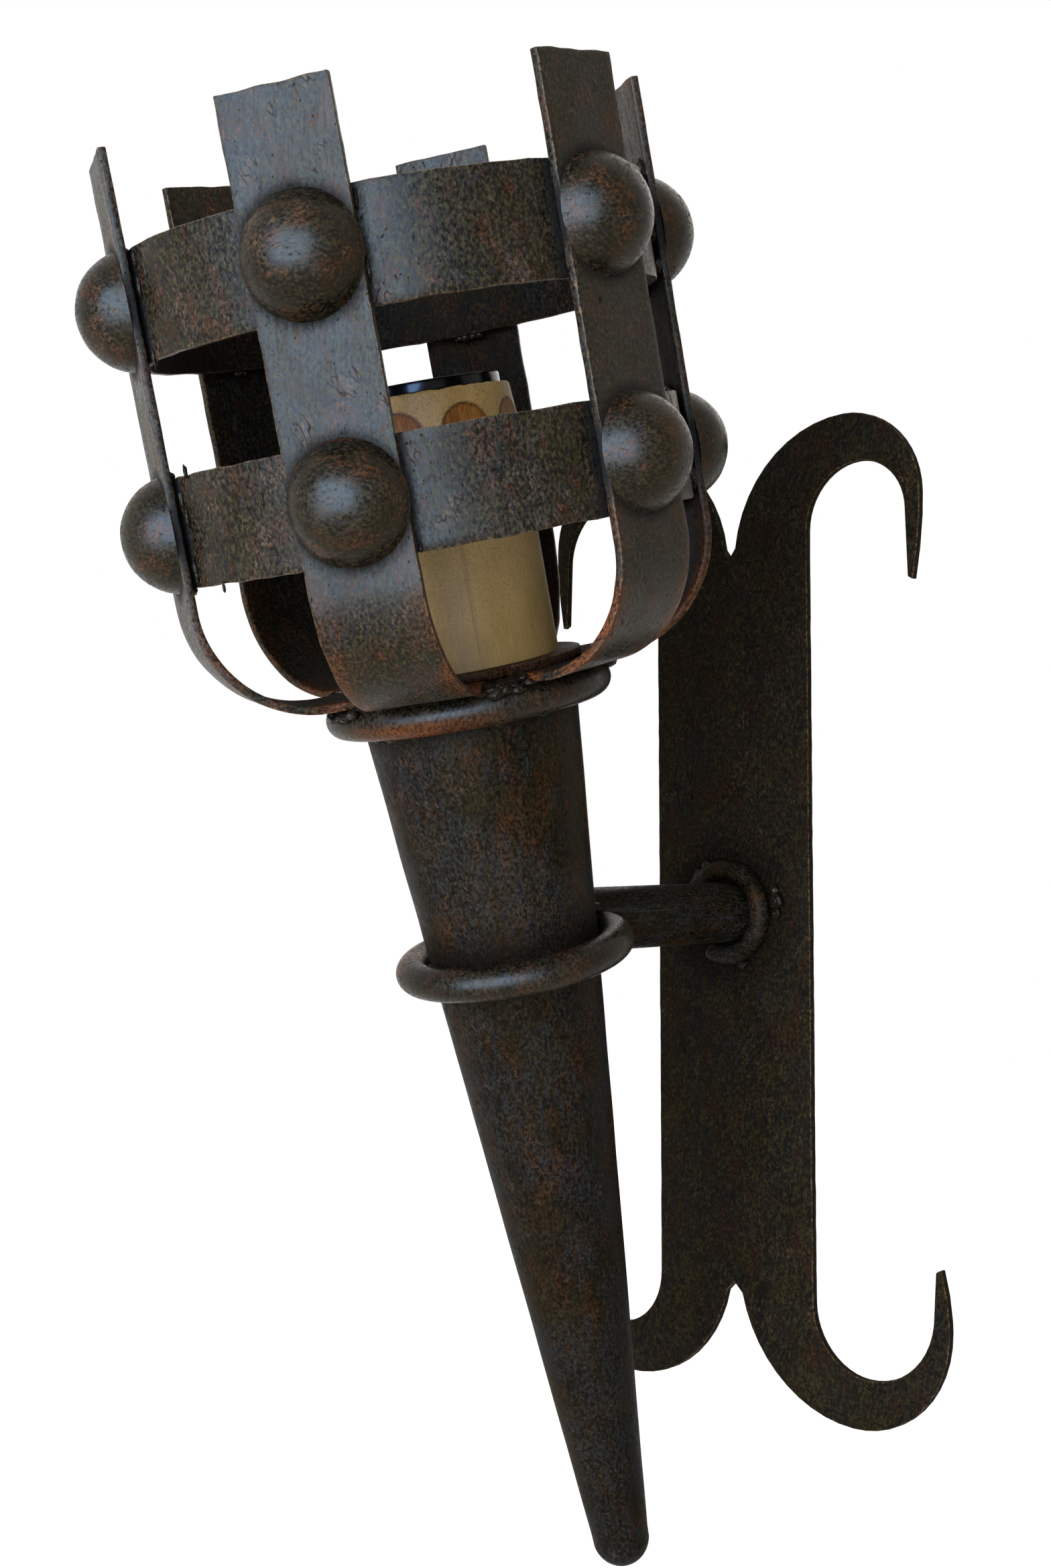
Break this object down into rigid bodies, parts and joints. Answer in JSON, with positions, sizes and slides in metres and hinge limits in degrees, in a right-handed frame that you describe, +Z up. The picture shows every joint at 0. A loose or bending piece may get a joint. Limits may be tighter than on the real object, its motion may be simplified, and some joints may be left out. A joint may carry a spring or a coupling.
{
  "type": "torch wall light",
  "caption": "Wrought-iron wall light: a tapered torch leaning from a horned plate on a short arm, with a riveted basket of straps and hoops round a sleeved screw lampholder.",
  "frame": {"origin": "on the wall face, on the axis of the arm, at the back of the wall plate", "axes": "+Z up, +Y into the wall, +X to the right as seen from the front"},
  "size_m": [0.1448, 0.1902, 0.3592],
  "materials": {
    "plate_iron": "matt, rust-streaked",
    "rubbed_iron": "satin, brown-black rubbed with copper and rust",
    "stud_iron": "satin, dark brown",
    "sleeve_cream": "satin, cream with rust-brown dimples",
    "holder_black": "gloss",
    "core_ceramic": "matt",
    "contact_brass": "bright",
    "zinc_steel": "satin",
    "lead_brown": "matt",
    "lead_blue": "matt",
    "lead_green": "matt"
  },
  "bodies": {
    "fitting": {"back_plate": "plate_iron", "arm_tube": "rubbed_iron", "arm_collar": "rubbed_iron", "torch_cone": "rubbed_iron", "cone_tip": "rubbed_iron", "mouth_ring": "rubbed_iron", "middle_ring": "rubbed_iron", "basket_floor": "rubbed_iron", "strap_1": "rubbed_iron", "strap_2": "rubbed_iron", "strap_3": "rubbed_iron", "strap_4": "rubbed_iron", "strap_5": "rubbed_iron", "strap_6": "rubbed_iron", "lower_hoop": "rubbed_iron", "upper_hoop": "rubbed_iron", "lower_studs": "stud_iron", "upper_studs": "stud_iron", "holder_cap": "holder_black", "holder_shell": "holder_black", "contact_core": "core_ceramic", "screw_shell": "contact_brass", "centre_contact": "contact_brass", "nipple": "zinc_steel", "nipple_nuts": "zinc_steel", "earth_tag": "contact_brass", "live_lead": "lead_brown", "neutral_lead": "lead_blue", "earth_lead": "lead_green"},
    "sleeve": {"lamp_sleeve": "sleeve_cream"}
  },
  "joints": [
    {"name": "sleeve_lift", "type": "slide", "parent": "fitting", "child": "sleeve", "axis": [0, -0.2419, 0.9703], "range_m": [0, 0.13]}
  ]
}
